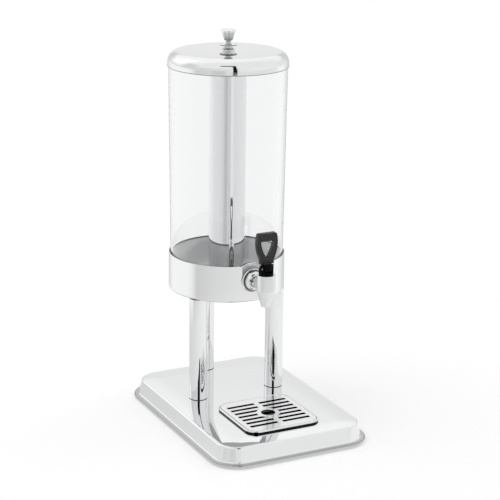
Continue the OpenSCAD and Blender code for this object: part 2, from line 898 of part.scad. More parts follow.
module shank_nut() {
    color(steel)
        along_shank(shank_end + shank_tail) hex_nut(shank_nut_r, shank_r + run_gap, shank_nut_t);
}

// outline of the bonnet's two ears, seen from the side
module ear_outline() {
    floor_z = bonnet_base_h - pivot_rise;
    circle(r = ear_r);
    polygon([
        [-ear_r, 0], [-ear_r, floor_z - over], [pivot_ahead + ear_back, floor_z - over],
        [pivot_ahead + ear_back, floor_z], [ear_r, 0]]);
}

module tap_bonnet() {
    color(black_plastic)
        difference() {
            union() {
                translate([0, tap_y, barrel_top_z - skirt_l])
                    cylinder(r = chamber_r - run_gap, h = skirt_l + over);
                translate([0, tap_y, barrel_top_z]) cylinder(r = bonnet_r, h = bonnet_base_h);
                intersection() {
                    translate([0, tap_y, barrel_top_z])
                        cylinder(r = bonnet_r, h = pivot_rise + ear_r + over);
                    translate([0, pivot_y, pivot_z]) across(2 * bonnet_r) ear_outline();
                }
            }
            translate([-ear_slot_half, tap_y - bonnet_r - over, barrel_top_z + bonnet_base_h])
                cube([2 * ear_slot_half, 2 * (bonnet_r + over), pivot_rise + ear_r]);
            translate([0, pivot_y, pivot_z]) across(2 * bonnet_r + over) circle(r = pivot_r);
            translate([0, tap_y, barrel_top_z - skirt_l - over])
                cylinder(r = stem_r + run_gap, h = skirt_l + bonnet_base_h + 2 * over);
            translate([0, tap_y, barrel_top_z - skirt_l - over])
                cylinder(r = spring_room_r, h = spring_room_h + over);
        }
}

module lever_pin() {
    color(steel)
        translate([0, pivot_y, pivot_z]) across(pivot_l) circle(r = pivot_r);
}

// the grip's outline, seen from the front, its sides two wide arcs
module grip_outline() {
    side_x = grip_side_r - grip_half;
    offset(r = grip_round) offset(delta = -grip_round) intersection() {
        translate([-side_x, grip_mid]) circle(r = grip_side_r, $fn = 4 * $fn);
        translate([side_x, grip_mid]) circle(r = grip_side_r, $fn = 4 * $fn);
        translate([-grip_half - over, crown_z]) square([2 * (grip_half + over), grip_top - crown_z]);
    }
    translate([-crown_half, crown_z]) square([2 * crown_half, crown_h]);
}

module loop_outline() {
    side_x = loop_side_r - loop_half;
    loop_mid = loop_top + lever_t / 2;
    loop_round = grip_round / 3;
    offset(r = loop_round) offset(delta = -loop_round) intersection() {
        translate([-side_x, loop_mid]) circle(r = loop_side_r, $fn = 4 * $fn);
        translate([side_x, loop_mid]) circle(r = loop_side_r, $fn = 4 * $fn);
        translate([-loop_half - over, 0]) square([2 * (loop_half + over), loop_top]);
    }
}

// the lever's fork between the bonnet's ears, seen from the side
module fork_outline() {
    back = pivot_ahead / cos(lift_angle);
    circle(r = fork_r);
    translate([back, 0]) circle(r = fork_r);
    translate([0, -fork_r]) square([back, 2 * fork_r]);
    translate([0, 0]) square([pivot_ahead + lever_t / 2, crown_z + crown_h / 2]);
    polygon([[0, 0], [-fork_r, 0], [pivot_ahead - lever_t / 2, crown_z + crown_h / 2], [back, crown_z]]);
}

// the fork's front, curved like the bonnet, that closes the slot between the ears
module fork_shield() {
    intersection() {
        translate([0, pivot_ahead, -shield_drop]) cylinder(r = crown_half, h = shield_drop + crown_z);
        translate([-fork_half, pivot_ahead - crown_half - over, -shield_drop - over])
            cube([2 * fork_half, crown_half - pivot_ahead + over, shield_drop + crown_z + 2 * over]);
    }
}

module tap_lever() {
    slot_r = cross_r + cross_gap;
    back = pivot_ahead / cos(lift_angle);
    color(black_plastic)
        translate([0, pivot_y, pivot_z])
            difference() {
                union() {
                    translate([0, pivot_ahead, 0])
                        rotate([90, 0, 0])
                            linear_extrude(height = lever_t, center = true)
                                difference() {
                                    grip_outline();
                                    loop_outline();
                                }
                    across(2 * fork_half) fork_outline();
                    fork_shield();
                }
                across(2 * fork_half + over) circle(r = pivot_r + run_gap);
                translate([0, pivot_ahead, 0]) across(2 * fork_half + over) circle(r = slot_r);
                translate([0, back, 0]) across(2 * fork_half + over) circle(r = slot_r);
                translate([-fork_half - over, pivot_ahead, -slot_r])
                    cube([2 * (fork_half + over), back - pivot_ahead, 2 * slot_r]);
                translate([-fork_gap_half, -pivot_r, -fork_r - over])
                    cube([2 * fork_gap_half, pivot_r + back + fork_r + over, fork_r + ear_r + over]);
            }
}

module tap_stem() {
    foot_z = seat_z + plug_h - plug_bite;
    color(steel)
        difference() {
            union() {
                translate([0, tap_y, foot_z]) cylinder(r = stem_r, h = pivot_z + stem_tip - foot_z);
                translate([0, tap_y, seat_z + plug_h]) cylinder(r = stem_flange_r, h = stem_flange_t);
            }
            translate([0, tap_y, pivot_z]) across(2 * stem_r + over) circle(r = cross_r);
        }
}

module stem_pin() {
    color(steel) translate([0, tap_y, pivot_z]) across(cross_l) circle(r = cross_r);
}

module seat_plug() {
    color(clear_rubber)
        translate([0, tap_y, seat_z])
            difference() {
                cylinder(r = plug_r, h = plug_h);
                translate([0, 0, plug_h - plug_bite]) cylinder(r = stem_r, h = plug_bite + over);
            }
}

// a coil spring as one closed tube along a helix
module coil(mean_r, wire_r, z_from, z_to, turns) {
    rings = turns * spring_steps;
    pts = [for (i = [0 : rings], j = [0 : spring_sides - 1])
        let (a = 360 * i / spring_steps, b = 360 * j / spring_sides,
            r = mean_r + wire_r * cos(b),
            z = z_from + (z_to - z_from) * i / rings + wire_r * sin(b))
        [r * cos(a), r * sin(a), z]];
    skin = [for (i = [0 : rings - 1], j = [0 : spring_sides - 1])
        let (k = (j + 1) % spring_sides, p = i * spring_sides, q = p + spring_sides)
        each [[p + j, p + k, q + j], [p + k, q + k, q + j]]];
    last = rings * spring_sides;
    caps = [
        for (j = [1 : spring_sides - 2]) each [
            [0, j + 1, j], [last, last + j, last + j + 1]]];
    polyhedron(points = pts, faces = concat(skin, caps));
}

module tap_spring() {
    low = seat_z + plug_h + stem_flange_t + spring_wire_r;
    high = barrel_top_z - skirt_l + spring_room_h - spring_wire_r;
    color(steel)
        translate([0, tap_y, 0]) coil(spring_r, spring_wire_r, low, high, spring_turns);
}

base_pan();
rubber_feet();
drip_tray();
drip_grate();
leg_front_left();
leg_front_right();
leg_rear();
leg_plugs();
leg_screws();
leg_washers();
cup_shell();
cup_strip();
tank_pad();
tank_shell();
ice_tube();
ice_tube_stud();
ice_tube_gasket();
ice_tube_washer();
ice_tube_nut();
lid_dome();
lid_knob();
knob_screw();
knob_washer();
tap_body();
tap_rosette();
outer_gasket();
inner_gasket();
shank_washer();
shank_nut();
tap_bonnet();
lever_pin();
tap_lever();
tap_stem();
stem_pin();
seat_plug();
tap_spring();
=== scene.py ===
"""Looks of a countertop drink dispenser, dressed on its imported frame.

Every finish is procedural, and the CAD's own nodes are the only pieces.
"""

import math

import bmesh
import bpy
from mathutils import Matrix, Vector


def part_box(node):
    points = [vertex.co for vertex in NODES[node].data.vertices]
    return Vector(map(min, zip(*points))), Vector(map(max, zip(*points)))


bl_info = {
    "name": "Drink dispenser finishes",
    "version": (1, 0, 0),
    "blender": (4, 5, 0),
    "location": "3D View > Sidebar > Dispenser",
    "description": "Dresses a drink dispenser with tap, ice tube and drip tray",
    "category": "Object",
}

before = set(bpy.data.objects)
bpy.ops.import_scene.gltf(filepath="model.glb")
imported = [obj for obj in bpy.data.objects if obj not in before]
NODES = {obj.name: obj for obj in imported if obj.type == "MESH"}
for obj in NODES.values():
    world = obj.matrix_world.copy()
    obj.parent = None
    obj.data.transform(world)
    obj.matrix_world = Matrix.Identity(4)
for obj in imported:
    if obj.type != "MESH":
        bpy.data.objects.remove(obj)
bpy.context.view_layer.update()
MM = 0.001

# Axes that a distance counts: level ones, and those across the tap's own axis.
LEVEL = (1, 1, 0)
UPRIGHT = (1, 0, 1)
# Stretch of the turning marks on an upright pin or screw.
UP_GRAIN = (1, 1, 8)
# Points this near each other are one before an edge is rounded, and edges sharper than this
# angle are rounded.
WELD_DISTANCE = 0.002 * MM
SHARP_ANGLE = math.radians(40)


def middle(node):
    """Middle of a node's box."""
    low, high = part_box(node)
    return (low + high) / 2


TANK_AXIS = middle("tank_shell")


def colour(**words):
    """A colour that a user can change."""
    return bpy.props.FloatVectorProperty(size=3, subtype="COLOR", min=0, max=1, **words)


def length(**words):
    """A length that a user can change."""
    return bpy.props.FloatProperty(unit="LENGTH", **words)


class StageSettings(bpy.types.PropertyGroup):
    """Camera, floor and light."""

    view_azimuth: bpy.props.FloatProperty(
        name="View azimuth",
        description="Where the camera stands round the dispenser, from the tap's side",
        default=math.radians(-26.211), subtype="ANGLE", unit="ROTATION")
    view_elevation: bpy.props.FloatProperty(
        name="View elevation",
        description="How far the camera looks down",
        default=math.radians(15.517), subtype="ANGLE", unit="ROTATION")
    view_roll: bpy.props.FloatProperty(
        name="View roll",
        description="Tilt of the camera about its own axis",
        default=math.radians(0.507), subtype="ANGLE", unit="ROTATION")
    view_distance: length(
        name="View distance",
        description="From the camera to the tank's axis",
        default=2.49845)
    view_height: length(
        name="Aim height",
        description="Height on the tank's axis that the camera is aimed at",
        default=0.30219)
    lens: bpy.props.FloatProperty(
        name="Lens",
        description="Focal length on the sensor below, in millimetres",
        default=115.676)
    sensor: bpy.props.FloatProperty(
        name="Sensor",
        description="Width of the sensor, in millimetres",
        default=36.0)
    shift: bpy.props.FloatVectorProperty(
        name="Shift",
        description="Shift of the lens that frames the dispenser as the photograph does",
        default=(0.0463, -0.0630), size=2)
    floor_colour: colour(
        name="Floor colour",
        description="Colour of the matt floor",
        default=(0.85, 0.85, 0.85))
    floor_radius: length(
        name="Floor radius",
        description="Radius of the round floor sheet",
        default=0.95)
    floor_lift: bpy.props.FloatProperty(
        name="Floor lift",
        description="White added where the floor is seen, mirrored or seen through the tank",
        default=0.30, min=0, max=1)
    floor_fade: bpy.props.FloatVectorProperty(
        name="Floor's fade",
        description="Distances from the middle between which the floor fades into the backdrop",
        default=(0.30, 0.80), size=2, unit="LENGTH")
    mirrored_floor_fade: bpy.props.FloatVectorProperty(
        name="Mirrored floor's fade",
        description="The same distances for the floor that polished metal mirrors",
        default=(0.45, 0.72), size=2, unit="LENGTH")
    fill: bpy.props.FloatProperty(
        name="Fill light",
        description="Even light from all round",
        default=0.66, min=0)
    softbox_radiance: bpy.props.FloatProperty(
        name="Softbox brightness",
        description="Brightness of the softboxes, where 1 is the white of the backdrop",
        default=1.9, min=0)
    softbox_size: length(
        name="Softbox size",
        description="Length of a softbox's side",
        default=1.1)
    softbox_distance: length(
        name="Softbox distance",
        description="Distance of a softbox from the tap",
        default=1.9)


class SteelSettings(bpy.types.PropertyGroup):
    """Polished, brushed and turned steel, and the tap's metal."""

    mirror: colour(
        name="Mirror steel",
        description="Colour of the polished sheet and tubes",
        default=(0.86, 0.865, 0.87))
    inside: colour(
        name="Cup's inside",
        description="Colour of the unpolished inside of the cup",
        default=(0.84, 0.845, 0.85))
    brushed: colour(
        name="Grate steel",
        description="Colour of the grate's plate",
        default=(0.86, 0.865, 0.87))
    turned: colour(
        name="Turned steel",
        description="Colour of screws, nuts, washers and pins",
        default=(0.66, 0.67, 0.68))
    satin: colour(
        name="Satin silver",
        description="Colour of the tap's body",
        default=(0.84, 0.845, 0.85))
    chrome: colour(
        name="Chrome",
        description="Colour of the dome nut and the lid's knob",
        default=(0.88, 0.885, 0.89))
    slot_pitch: length(
        name="Slot pitch",
        description="Distance from one row of slots to the next",
        default=0.013)
    # Painted shade covers each slot with its rim.
    slot_rim: length(
        name="Slot rim",
        description="Half the width of a slot with its rim",
        default=0.0034)
    slot_column: bpy.props.FloatVectorProperty(
        name="Slot column",
        description="Distances from the middle line between which the slots with their rims lie",
        default=(0.0041, 0.0500), size=2, unit="LENGTH")
    slot_clear: length(
        name="Room round the hole",
        description="Radius round the finger hole that the slots' rims keep clear",
        default=0.0178)
    cup_sheet: length(
        name="Cup's sheet",
        description="Thickness of the cup's wall",
        default=0.0008)
    # Painted light: how brightly the cup's inside glows.
    painted_inside_glow: bpy.props.FloatProperty(
        name="Light inside the cup",
        description="Light that the clear tank scatters onto the cup's inside",
        default=0.17, min=0, max=1)
    base_corner: length(
        name="Base corner",
        description="Corner radius of the base's outline",
        default=0.044)
    deck_edge: length(
        name="Deck edge",
        description="Distance from the base's outline in to where the deck is flat",
        default=0.0165)
    crown_width: length(
        name="Crown width",
        description="Width of the strip along the deck's edge that falls away",
        default=0.030)
    crown_drop: length(
        name="Crown drop",
        description="How far that strip falls away at the deck's edge",
        default=0.0010)
    tray_corner: length(
        name="Tray corner",
        description="Corner radius of the tray's outline",
        default=0.019)
    tray_lip: length(
        name="Tray lip",
        description="Width of the tray's lip",
        default=0.0028)
    tray_bowl: length(
        name="Tray bowl",
        description="Distance from the tray's outline in to its bowl",
        default=0.0083)
    tap_edge: length(
        name="Tap edge",
        description="Width of the rounded edges of the tap's body",
        default=0.0006)


class PlasticSettings(bpy.types.PropertyGroup):
    """Plastic, rubber and silicone."""

    clear: colour(
        name="Clear plastic",
        description="Tint of the tank's wall",
        default=(0.962, 0.966, 0.968))
    clear_ior: bpy.props.FloatProperty(
        name="Tank's refractive index",
        description="Refractive index of the tank's plastic",
        default=1.49, min=1, max=2)
    black: colour(
        name="Black plastic",
        description="Colour of the lever and the leg plugs",
        default=(0.008, 0.008, 0.0085))
    bonnet: colour(
        name="Bonnet",
        description="Colour of the bonnet, blacker than the lever",
        default=(0.002, 0.002, 0.0022))
    rubber: colour(
        name="Foot rubber",
        description="Colour of the rubber feet",
        default=(0.03, 0.03, 0.032))
    strip: colour(
        name="Black silicone",
        description="Colour of the ring in the cup's mouth",
        default=(0.008, 0.008, 0.0085))
    gasket: colour(
        name="White silicone",
        description="Colour of the white gaskets",
        default=(0.78, 0.79, 0.80))
    pad: colour(
        name="Tank pad",
        description="Colour of the pad between the tank and the cup",
        default=(0.80, 0.80, 0.805))
    lever_edge: length(
        name="Lever edge",
        description="Width of the lever's rounded edges",
        default=0.0012)
    bonnet_edge: length(
        name="Bonnet edge",
        description="Width of the bonnet's rounded edges",
        default=0.0006)
    # Painted shade: the lever's foot loses its gleam below this height over the bonnet.
    foot_shade_fade: length(
        name="Lever foot's fade",
        description="Height over the bonnet in which the lever's deeper black ends",
        default=0.002)


def set_inputs(node, values):
    """Sets a node's inputs by name."""
    for key, value in values.items():
        node.inputs[key].default_value = value


class Graph:
    """Short calls for filling a shader tree."""

    def __init__(self, tree):
        self.tree = tree

    def add(self, kind, values=None, **settings):
        """A node with its settings and the values of its unlinked inputs."""
        node = self.tree.nodes.new(kind)
        for key, value in settings.items():
            setattr(node, key, value)
        set_inputs(node, values or {})
        return node

    def link(self, source, target):
        self.tree.links.new(source, target)

    def feed(self, socket, value):
        """Links a socket to an input, or sets the input to a plain number or vector."""
        if isinstance(value, (int, float, tuple)):
            socket.default_value = value
        else:
            self.link(value, socket)

    def wired(self, kind, *values, **settings):
        """A node whose inputs are fed in order, by sockets or plain values."""
        node = self.add(kind, **settings)
        for socket, value in zip(node.inputs, values):
            self.feed(socket, value)
        return node

    def math(self, operation, *values, clamp=False):
        """A Math node on sockets or plain numbers."""
        return self.wired("ShaderNodeMath", *values, operation=operation,
                          use_clamp=clamp).outputs[0]

    def vector(self, operation, *values):
        """A Vector Math node on sockets or plain vectors."""
        node = self.wired("ShaderNodeVectorMath", *values, operation=operation)
        return node.outputs["Value" if operation == "LENGTH" else "Vector"]

    def parts(self, vector):
        """X, Y and Z of a vector."""
        return self.wired("ShaderNodeSeparateXYZ", vector).outputs

    def place(self):
        """Place on the part at rest, in metres."""
        return self.add("ShaderNodeTexCoord").outputs["Object"]

    def noise(self, place, scale, detail, roughness, distortion=0.0):
        """A noise at a place, with its scale from a socket."""
        node = self.add("ShaderNodeTexNoise", {"Detail": detail, "Roughness": roughness,
                                               "Distortion": distortion})
        self.link(place, node.inputs["Vector"])
        self.link(scale, node.inputs["Scale"])
        return node.outputs["Fac"]

    def spread(self, value, low, high):
        """A 0 to 1 value spread between two sockets or numbers."""
        return self.wired("ShaderNodeMapRange", value, 0.0, 1.0, low, high).outputs["Result"]

    def rise(self, value, start, end, kind="LINEAR"):
        """0 at the start and 1 at the end of a stretch of values."""
        return self.wired("ShaderNodeMapRange", value, start, end,
                          interpolation_type=kind).outputs["Result"]

    def ramp(self, share, stops):
        """Grey tones at places from 0 to 1, blended in between."""
        node = self.wired("ShaderNodeValToRGB", share)
        band = node.color_ramp
        while len(band.elements) < len(stops):
            band.elements.new(1.0)
        for element, (place, tone) in zip(band.elements, stops):
            element.position = place
            element.color = (tone, tone, tone, 1)
        return node.outputs["Color"]

    def bump(self, height, depth, before=None):
        """A normal bent by a height, on top of another normal where one is given."""
        node = self.add("ShaderNodeBump", {"Strength": 1.0, "Distance": depth})
        self.link(height, node.inputs["Height"])
        if before is not None:
            self.link(before, node.inputs["Normal"])
        return node.outputs["Normal"]

    def blend(self, share, first, second, kind="MIX"):
        """Two colours, blended by the second one's share."""
        node = self.add("ShaderNodeMix", data_type="RGBA", blend_type=kind)
        for name, value in (("Factor", share), ("A", first), ("B", second)):
            self.feed(node.inputs[name], value)
        return node.outputs["Result"]

    def mixed(self, share, first, second):
        """Two shaders, mixed by the second one's share."""
        return self.wired("ShaderNodeMixShader", share, first, second).outputs["Shader"]

    def show(self, shader):
        """Gives the material a shader other than its plain Principled one."""
        self.link(shader, self.tree.nodes["Material Output"].inputs["Surface"])


FLOAT, COLOUR, VECTOR = "NodeSocketFloat", "NodeSocketColor", "NodeSocketVector"


def new_group(name, inputs, outputs):
    """A node group with named sockets, and its input and output nodes."""
    tree = bpy.data.node_groups.new(name, "ShaderNodeTree")
    for label, kind, value in inputs:
        socket = tree.interface.new_socket(label, in_out="INPUT", socket_type=kind)
        socket.default_value = value
    for label, kind in outputs:
        tree.interface.new_socket(label, in_out="OUTPUT", socket_type=kind)
    graph = Graph(tree)
    return graph, graph.add("NodeGroupInput"), graph.add("NodeGroupOutput")


def surface_group(name, stretch=(1, 1, 1), grain=400.0, patches=14.0, detail=5.0):
    """A surface whose tone, gloss and height change with a fine grain and with slow patches."""
    graph, given, made = new_group(
        name,
        [("Tone", COLOUR, (0.8, 0.8, 0.8, 1)), ("Tone Change", FLOAT, 0.03),
         ("Gloss Low", FLOAT, 0.05), ("Gloss High", FLOAT, 0.12),
         ("Stretch", VECTOR, stretch), ("Grain", FLOAT, grain), ("Patches", FLOAT, patches)],
        [("Tone", COLOUR), ("Roughness", FLOAT), ("Fine Height", FLOAT), ("Slow Height", FLOAT)])
    fine_share, slow_share = 0.6, 0.4
    place = graph.place()
    fine = graph.noise(graph.vector("MULTIPLY", place, given.outputs["Stretch"]),
                       given.outputs["Grain"], detail=detail, roughness=0.6)
    slow = graph.noise(place, given.outputs["Patches"], detail=2.0, roughness=0.4)
    both = graph.math("ADD", graph.math("MULTIPLY", fine, fine_share),
                      graph.math("MULTIPLY", slow, slow_share))
    rough = graph.spread(both, given.outputs["Gloss Low"], given.outputs["Gloss High"])
    tone = graph.blend(graph.math("MULTIPLY", both, given.outputs["Tone Change"]),
                       given.outputs["Tone"], (0.0, 0.0, 0.0, 1), "MULTIPLY")
    graph.link(tone, made.inputs["Tone"])
    graph.link(rough, made.inputs["Roughness"])
    graph.link(fine, made.inputs["Fine Height"])
    graph.link(slow, made.inputs["Slow Height"])
    return graph.tree


def smudge_group():
    """Soft marks that hands leave on polished metal and plastic."""
    graph, given, made = new_group(
        "Handling marks",
        [("Size", FLOAT, 60.0), ("Amount", FLOAT, 0.1)],
        [("Mask", FLOAT)])
    clean, smudged = 0.52, 0.72
    marks = graph.noise(graph.place(), given.outputs["Size"], detail=3.0, roughness=0.7,
                        distortion=1.2)
    mask = graph.ramp(marks, ((clean, 0.0), (smudged, 1.0)))
    graph.link(graph.math("MULTIPLY", mask, given.outputs["Amount"]), made.inputs["Mask"])
    return graph.tree


def outline_group():
    """Distance to a rounded rectangle seen from above, negative inside it."""
    graph, given, made = new_group(
        "Outline distance",
        [("Middle", VECTOR, (0, 0, 0)), ("Half Size", VECTOR, (0.1, 0.1, 1)),
         ("Corner", FLOAT, 0.01)],
        [("Distance", FLOAT)])
    corner = given.outputs["Corner"]
    level_corner = graph.wired("ShaderNodeCombineXYZ", corner, corner)
    offset = graph.vector("SUBTRACT", graph.place(), given.outputs["Middle"])
    beyond = graph.vector("SUBTRACT", graph.vector("ABSOLUTE", offset), given.outputs["Half Size"])
    beyond = graph.vector("ADD", graph.vector("MULTIPLY", beyond, LEVEL),
                          level_corner.outputs["Vector"])
    round_part = graph.vector("LENGTH", graph.vector("MAXIMUM", beyond, (0, 0, 0)))
    sides = graph.parts(beyond)
    flat_part = graph.math("MINIMUM", graph.math("MAXIMUM", sides["X"], sides["Y"]), 0)
    distance = graph.math("SUBTRACT", graph.math("ADD", round_part, flat_part), corner)
    graph.link(distance, made.inputs["Distance"])
    return graph.tree


def outline_distance(graph, node, corner):
    """Distance to the outline of a node whose outline is a rounded rectangle."""
    low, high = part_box(node)
    group = graph.add("ShaderNodeGroup", {"Middle": (low + high) / 2, "Half Size": (high - low) / 2,
                                          "Corner": corner}, node_tree=GROUPS["outline"])
    return group.outputs["Distance"]


def height_of(graph):
    """Height on the part at rest, in metres."""
    return graph.parts(graph.place())["Z"]


def distance_from(graph, centre, axes):
    """Distance from a point, measured along the axes that are 1."""
    offset = graph.vector("SUBTRACT", graph.place(), tuple(centre))
    return graph.vector("LENGTH", graph.vector("MULTIPLY", offset, axes))


def between(graph, value, low, high):
    """1 where a value lies between two numbers."""
    return graph.math("MULTIPLY", graph.math("GREATER_THAN", value, low),
                      graph.math("LESS_THAN", value, high))


def shade(graph, shader, amount):
    """Darkens a shader's colour by a factor from 0 to 1."""
    socket = shader.inputs["Base Color"]
    before = socket.links[0].from_socket
    graph.link(graph.blend(1.0, before, amount, "MULTIPLY"), socket)


def shade_bands(graph, shader, value, tones):
    """Darkens a shader's colour in bands along a value, by places and their tones."""
    low, high = tones[0][0], tones[-1][0]
    stops = [((place - low) / (high - low), tone) for place, tone in tones]
    shade(graph, shader, graph.ramp(graph.rise(value, low, high), stops))


GROUPS = {}


def build_groups():
    GROUPS["polish"] = surface_group("Polished surface", grain=900.0, patches=9.0, detail=4.0)
    GROUPS["grain"] = surface_group("Drawn grain", stretch=(1, 1, 0.02), grain=900.0)
    GROUPS["skin"] = surface_group("Moulded skin", grain=1400.0, patches=40.0, detail=6.0)
    GROUPS["marks"] = smudge_group()
    GROUPS["patch"] = patch_group()
    GROUPS["outline"] = outline_group()


def opened(material):
    """A material's graph and its Principled shader."""
    return Graph(material.node_tree), material.node_tree.nodes["Principled BSDF"]


def new_material(name, values):
    """A material with one Principled shader and its plain values, and its graph."""
    material = bpy.data.materials.new(name)
    material.use_nodes = True
    graph, shader = opened(material)
    set_inputs(shader, values)
    return material, graph, shader


# How much of its tone each kind of surface loses where its grain and patches are strongest.
TONE_CHANGES = {"polish": 0.05, "grain": 0.15, "skin": 0.3}


def surface_node(graph, group, tone, gloss, **values):
    """A surface group with its tone and its least and greatest roughness."""
    values = {"Gloss Low": gloss[0], "Gloss High": gloss[1], "Tone": (*tone, 1),
              "Tone Change": TONE_CHANGES[group], **values}
    return graph.add("ShaderNodeGroup", values, node_tree=GROUPS[group])


def surface(graph, shader, node, fine=0.0, slow=0.0, marks=0.0):
    """Feeds a shader from a surface group: colour, roughness and bumps of given depths."""
    graph.link(node.outputs["Tone"], shader.inputs["Base Color"])
    rough = node.outputs["Roughness"]
    if marks:
        smudge = graph.add("ShaderNodeGroup", {"Amount": marks}, node_tree=GROUPS["marks"])
        rough = graph.math("ADD", rough, smudge.outputs["Mask"])
    graph.link(rough, shader.inputs["Roughness"])
    normal = None
    for height, depth in (("Slow Height", slow), ("Fine Height", fine)):
        if depth:
            normal = graph.bump(node.outputs[height], depth, normal)
    if normal is not None:
        graph.link(normal, shader.inputs["Normal"])


def mirror_steel(name, tone, gloss=(0.02, 0.06), ripple=0.06 * MM, marks=0.03):
    """Sheet or tube polished to a mirror, with the slight waves that pressing leaves."""
    material, graph, shader = new_material(name, {"Metallic": 1.0})
    surface(graph, shader, surface_node(graph, "polish", tone, gloss), slow=ripple, marks=marks)
    return material


# Painted reflections and shade on the base's rolled edge, as tones by height in metres: darker
# round the roll and in the hollow above it, where polished sheet would mirror its own folds.
PAINTED_EDGE_SHADE = ((0.001, 0.42), (0.0022, 0.66), (0.0046, 0.72), (0.0056, 0.48), (0.0066, 0.46),
              (0.0074, 1.0))
# Painted shade along the lid's rim and the cup's foot, and painted reflections and shade on the
# knob, as tones by height above their own lowest edge.
PAINTED_RIM_SHADE = ((0.0, 0.40), (0.0010, 0.45), (0.0018, 1.0))
PAINTED_CUP_FOOT_SHADE = ((0.0, 0.30), (0.0008, 0.35), (0.0016, 1.0))
PAINTED_KNOB_SHADE_AND_REFLECTIONS = ((0.0, 0.92), (0.0022, 0.88), (0.0034, 0.75), (0.0056, 0.85), (0.0066, 0.80),
              (0.0069, 0.12), (0.0082, 0.12), (0.0085, 1.0), (0.0104, 1.0), (0.0116, 0.45),
              (0.0146, 0.50), (0.0150, 0.30), (0.0200, 0.62), (0.0262, 0.80), (0.0280, 1.0))
# Painted reflections and shade on the dome nut, as dark rings by distance from its own axis.
PAINTED_NUT_REFLECTIONS = ((0.0, 0.30), (0.0085, 0.30), (0.0096, 0.95), (0.0140, 1.0), (0.0158, 0.12),
             (0.0170, 0.25), (0.0180, 1.0), (0.0205, 0.9), (0.0212, 0.25))

# Where the tray turns from its polished lip to the painted shadow on its foot and ledge, as shares
# of the lip's width, and the heights between which foot, ledge and bowl lie: above the deck, under
# the tray's top and above its underside. The bowl gets painted shade.
TRAY_FOOT_SHARE, TRAY_LEDGE_SHARE = 1.1, 0.85
TRAY_FOOT_TOP, TRAY_LEDGE_BOTTOM = 2.5 * MM, 2.6 * MM
TRAY_LEDGE_DEPTH, TRAY_BOWL_RISE = 0.7 * MM, 0.5 * MM
TRAY_BOWL_SHADE, TRAY_PAINTED_SHADOW = 0.40, 0.015

# The grate's rows of slots, how thick its bright top layer is, and the tone of its painted shade.
SLOT_ROWS = 7
GRATE_TOP_LAYER = 0.2 * MM
GRATE_PAINTED_SHADE = 0.02


def base_steel(name, steel):
    """The pan: a mirror whose deck falls away a little along its edge."""
    material = mirror_steel(name, steel.mirror)
    graph, shader = opened(material)
    # Painted reflections and shade along the rolled edge.
    shade_bands(graph, shader, height_of(graph), PAINTED_EDGE_SHADE)
    distance = outline_distance(graph, "base_pan", steel.base_corner)
    fall = graph.rise(distance, -steel.deck_edge - steel.crown_width, -steel.deck_edge)
    square = graph.math("MULTIPLY", fall, fall)
    socket = shader.inputs["Normal"]
    crown = graph.bump(graph.math("SUBTRACT", 1.0, square), steel.crown_drop,
                       socket.links[0].from_socket)
    graph.link(crown, socket)
    return material


def tray_steel(name, steel):
    """The tray: polished lip, painted shadow on its foot and ledge, and painted shade in its bowl.
    """
    material = mirror_steel(name, steel.mirror)
    graph, shader = opened(material)
    low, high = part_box("drip_tray")
    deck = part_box("base_pan")[1].z
    height = height_of(graph)
    distance = outline_distance(graph, "drip_tray", steel.tray_corner)
    outer = graph.math("GREATER_THAN", distance, -steel.tray_lip * TRAY_FOOT_SHARE)
    foot = graph.math("MULTIPLY", outer, graph.math("LESS_THAN", height, deck + TRAY_FOOT_TOP))
    inner = graph.math("LESS_THAN", distance, -steel.tray_lip * TRAY_LEDGE_SHARE)
    ledge = graph.math("MULTIPLY", inner, between(graph, height, deck + TRAY_LEDGE_BOTTOM,
                                                  high.z - TRAY_LEDGE_DEPTH))
    bowl = graph.math("MULTIPLY", graph.math("LESS_THAN", distance, -steel.tray_bowl),
                      graph.math("GREATER_THAN", height, low.z + TRAY_BOWL_RISE))
    # Painted shade in the bowl under the grate, and painted shadow on the foot and the ledge.
    shade(graph, shader, graph.spread(bowl, 1.0, TRAY_BOWL_SHADE))
    shade(graph, shader, graph.spread(graph.math("MAXIMUM", foot, ledge), 1.0, TRAY_PAINTED_SHADOW))
    return material


def grate_steel(name, steel):
    """The grate: bright plate with painted shade below its top layer and round its slots."""
    material = mirror_steel(name, steel.brushed, gloss=(0.06, 0.12))
    graph, shader = opened(material)
    centre, top = middle("drip_grate"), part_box("drip_grate")[1].z
    # Painted shade: all below the top layer, and a band round each slot, is darkened.
    shaded_lower_part = graph.math("LESS_THAN", height_of(graph), top - GRATE_TOP_LAYER)
    offset = graph.parts(graph.vector("SUBTRACT", graph.place(), (centre.x, centre.y, 0)))
    pitch = steel.slot_pitch
    field = pitch * SLOT_ROWS
    along = graph.math("ADD", offset["Y"], field / 2)
    off_row = graph.math("SUBTRACT", graph.math("MODULO", along, pitch), pitch / 2)
    in_row = graph.math("LESS_THAN", graph.math("ABSOLUTE", off_row), steel.slot_rim)
    in_row = graph.math("MULTIPLY", in_row, between(graph, along, 0.0, field))
    in_column = between(graph, graph.math("ABSOLUTE", offset["X"]), *steel.slot_column)
    clear = graph.math("GREATER_THAN", distance_from(graph, centre, LEVEL), steel.slot_clear)
    rim = graph.math("MULTIPLY", graph.math("MULTIPLY", in_row, in_column), clear)
    shade(graph, shader, graph.spread(graph.math("MAXIMUM", shaded_lower_part, rim), 1.0, GRATE_PAINTED_SHADE))
    return material


def painted_band_steel(name, tone, node, tones, **finish):
    """Polished steel with painted shade in darker bands by height above a node's lowest edge."""
    material = mirror_steel(name, tone, **finish)
    graph, shader = opened(material)
    above = graph.math("SUBTRACT", height_of(graph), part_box(node)[0].z)
    shade_bands(graph, shader, above, tones)
    return material


def nut_steel(name, steel):
    """Dome nut chrome, with rings of painted reflection and shade at its flange and the tap's neck.
    """
    material = mirror_steel(name, steel.chrome, gloss=(0.01, 0.03), ripple=0.02 * MM)
    graph, shader = opened(material)
    from_axis = distance_from(graph, middle("tap_rosette"), UPRIGHT)
    shade_bands(graph, shader, from_axis, PAINTED_NUT_REFLECTIONS)
    return material


